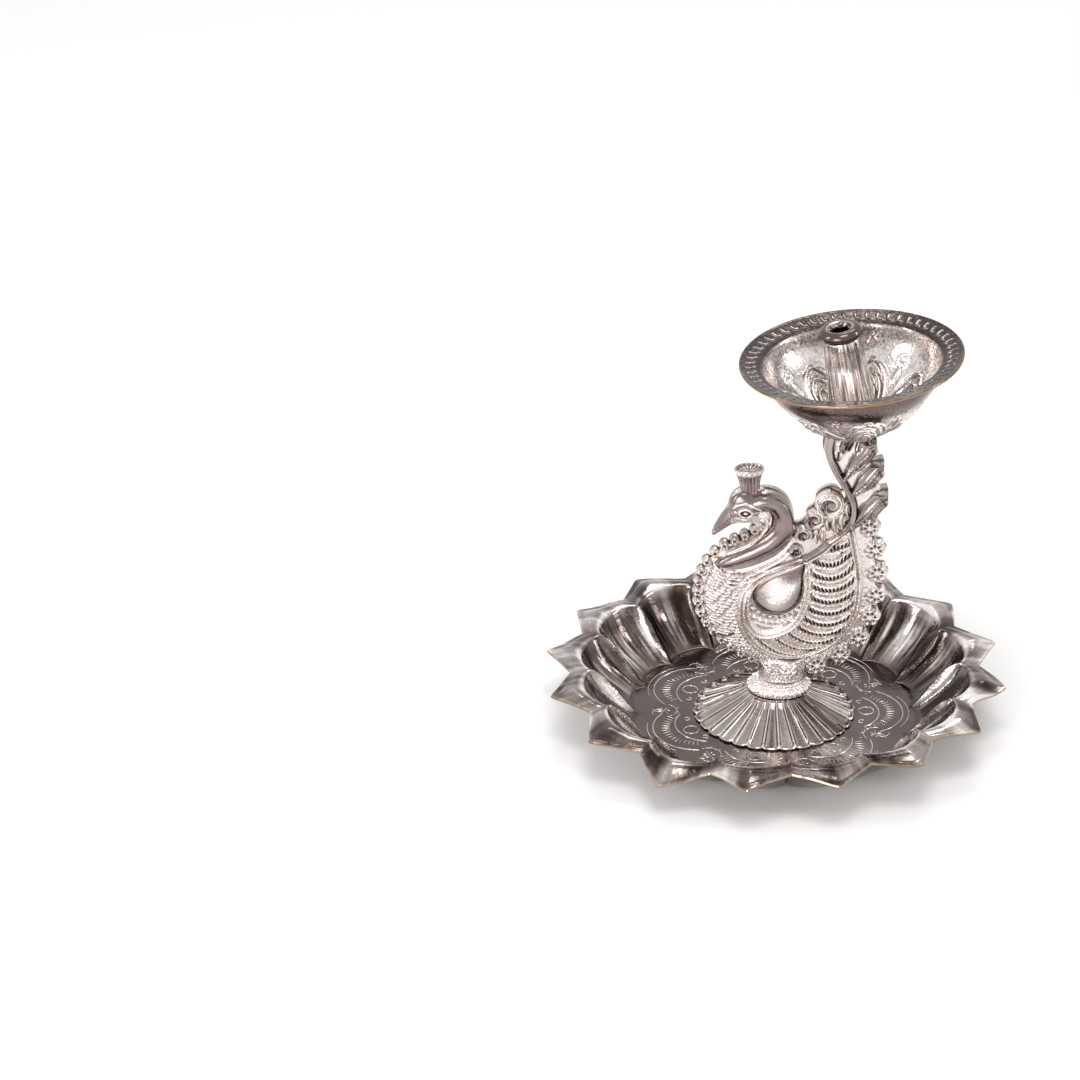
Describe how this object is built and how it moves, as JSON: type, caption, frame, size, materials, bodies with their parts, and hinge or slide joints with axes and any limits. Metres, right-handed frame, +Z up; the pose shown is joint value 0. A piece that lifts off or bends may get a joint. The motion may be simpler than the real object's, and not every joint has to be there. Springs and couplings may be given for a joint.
{
  "type": "diya",
  "caption": "Silver-plated peacock oil lamp: a bird on a fluted cone in a petalled tray carries a flared oil cup with a lift-off wick tube on its raised tail.",
  "frame": {"origin": "on the table under the middle of the tray", "axes": "+Z up, -X the way the bird faces, -Y the side seen in the picture"},
  "size_m": [0.1256, 0.1255, 0.1188],
  "materials": {
    "polished_silver_plate": "mirror polished silver plate",
    "satin_silver_plate": "frosted silver plate, polished on the high spots",
    "plain_steel": "plain, hidden"
  },
  "bodies": {
    "lamp": {"tray": "polished_silver_plate", "pedestal_cone": "polished_silver_plate", "foot_collar": "satin_silver_plate", "foot_screw": "plain_steel", "foot_washer": "plain_steel", "foot_nut": "plain_steel", "bird_shell_left": "satin_silver_plate", "bird_shell_right": "satin_silver_plate", "crest": "satin_silver_plate", "cup_seat": "polished_silver_plate", "oil_cup": "polished_silver_plate", "cup_washer": "plain_steel", "cup_screw": "plain_steel"},
    "wick_tube": {"wick_tube": "polished_silver_plate"}
  },
  "joints": [
    {"name": "wick_tube_lift", "type": "slide", "parent": "lamp", "child": "wick_tube", "axis": [-0.1771, 0.0209, 0.984], "range_m": [0, 0.03]}
  ]
}
